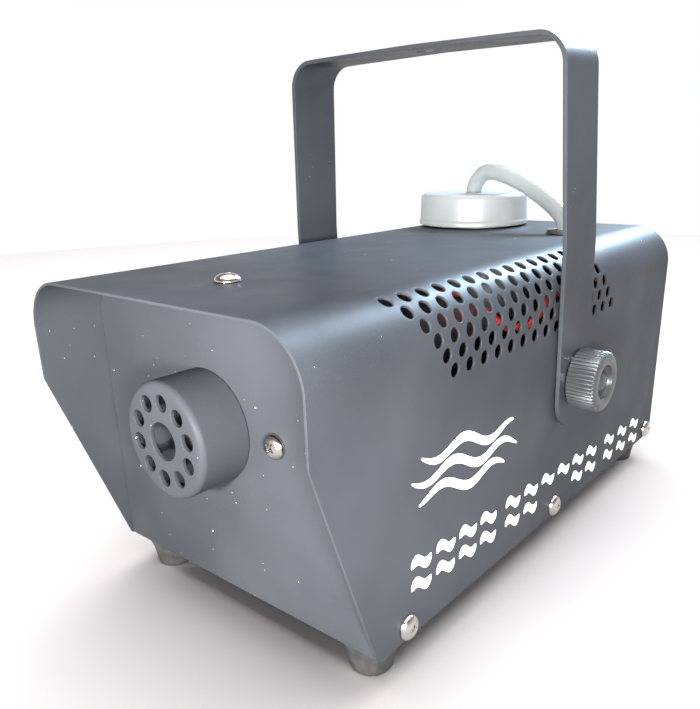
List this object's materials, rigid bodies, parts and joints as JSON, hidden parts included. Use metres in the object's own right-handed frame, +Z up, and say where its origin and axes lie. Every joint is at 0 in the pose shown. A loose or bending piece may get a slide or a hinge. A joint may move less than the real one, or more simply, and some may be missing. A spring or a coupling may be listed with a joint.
{
  "type": "fog machine",
  "caption": "Small stage fog machine: folded sheet cover on a chassis, tilting U bracket held by side knobs, perforated outlet shroud, fluid bottle with a hose, pump and heater inside.",
  "frame": {"origin": "under the middle of the whole machine's bounding box, on the surface that its feet stand on", "axes": "-Y is the front, where the fog comes out; +Z is up; +X is the side with the bracket leg nearest in the picture"},
  "size_m": [0.148, 0.249, 0.1821],
  "materials": {
    "grey_coat": "satin dark grey powder coat with fine pale specks",
    "nickel": "bright nickel plated steel",
    "zinc": "zinc plated steel",
    "black_rubber": "matt black rubber",
    "black_plastic": "fine textured black plastic",
    "milky_plastic": "milky translucent polyethylene",
    "brass": "turned brass",
    "winding_tape": "amber winding tape",
    "cast_aluminium": "as cast",
    "board_green": "green solder resist",
    "red_plastic": "glossy red plastic",
    "red_wire": "red silicone insulation"
  },
  "bodies": {
    "machine": {"cover": "grey_coat", "chassis": "grey_coat", "nozzle_shroud": "grey_coat", "cover_screw_left_front": "nickel", "cover_screw_left_middle": "nickel", "cover_screw_left_rear": "nickel", "cover_screw_right_front": "nickel", "cover_screw_right_middle": "nickel", "cover_screw_right_rear": "nickel", "front_screw_left": "nickel", "front_screw_right": "nickel", "top_screw": "nickel", "foot_screw_front_left": "nickel", "foot_screw_front_right": "nickel", "foot_screw_rear_left": "nickel", "foot_screw_rear_right": "nickel", "foot_front_left": "black_rubber", "foot_front_right": "black_rubber", "foot_rear_left": "black_rubber", "foot_rear_right": "black_rubber", "knob_washer_left": "zinc", "knob_washer_right": "zinc", "weld_nut_left": "zinc", "weld_nut_right": "zinc", "bottle": "milky_plastic", "bottle_tray": "zinc", "intake_tube": "milky_plastic", "tube_grommet": "black_rubber", "intake_filter": "brass", "pump_body": "black_plastic", "pump_coil": "winding_tape", "pump_yoke": "zinc", "pump_spring": "nickel", "delivery_pipe": "nickel", "heater_block": "cast_aluminium", "heating_element": "nickel", "nozzle": "brass", "thermostat": "zinc", "thermal_fuse": "nickel", "heater_bracket": "zinc", "heat_shield": "zinc", "circuit_board": "board_green", "board_base": "black_plastic", "board_relay": "black_plastic", "board_capacitor": "black_plastic", "switch_body": "black_plastic", "fuse_holder": "black_plastic", "indicator_lamp": "red_plastic", "remote_socket": "black_plastic", "cable_gland": "black_plastic", "heater_wire": "red_wire"},
    "bracket": {"bracket": "grey_coat"},
    "left_knob": {"knob_left": "black_plastic", "knob_stud_left": "zinc"},
    "right_knob": {"knob_right": "black_plastic", "knob_stud_right": "zinc"},
    "cap": {"bottle_cap": "milky_plastic"},
    "piston": {"pump_piston": "nickel"},
    "rocker": {"switch_rocker": "red_plastic"},
    "fuse_plug": {"fuse_cap": "black_plastic"}
  },
  "joints": [
    {"name": "bracket_tilt", "type": "hinge", "parent": "machine", "child": "bracket", "pos_m": [0, 0.011, 0.067], "axis": [1, 0, 0], "range_deg": [-47, 43]},
    {"name": "left_knob_turn", "type": "hinge", "parent": "machine", "child": "left_knob", "pos_m": [-0.062, 0.011, 0.067], "axis": [-1, 0, 0], "range_deg": [0, 360]},
    {"name": "right_knob_turn", "type": "hinge", "parent": "machine", "child": "right_knob", "pos_m": [0.062, 0.011, 0.067], "axis": [1, 0, 0], "range_deg": [0, 360]},
    {"name": "cap_turn", "type": "hinge", "parent": "machine", "child": "cap", "pos_m": [-0.0255, 0.082, 0.1124], "axis": [0, 0, 1], "range_deg": [0, 450]},
    {"name": "piston_stroke", "type": "slide", "parent": "machine", "child": "piston", "axis": [0, 1, 0], "range_m": [-0.002, 0.002], "stiffness_N_per_m": 900},
    {"name": "switch_rock", "type": "hinge", "parent": "machine", "child": "rocker", "pos_m": [0.046, 0.1083, 0.087], "axis": [1, 0, 0], "range_deg": [-18, 0]},
    {"name": "fuse_cap_turn", "type": "hinge", "parent": "machine", "child": "fuse_plug", "pos_m": [0.048, 0.1103, 0.061], "axis": [0, 1, 0], "range_deg": [0, 90]}
  ]
}
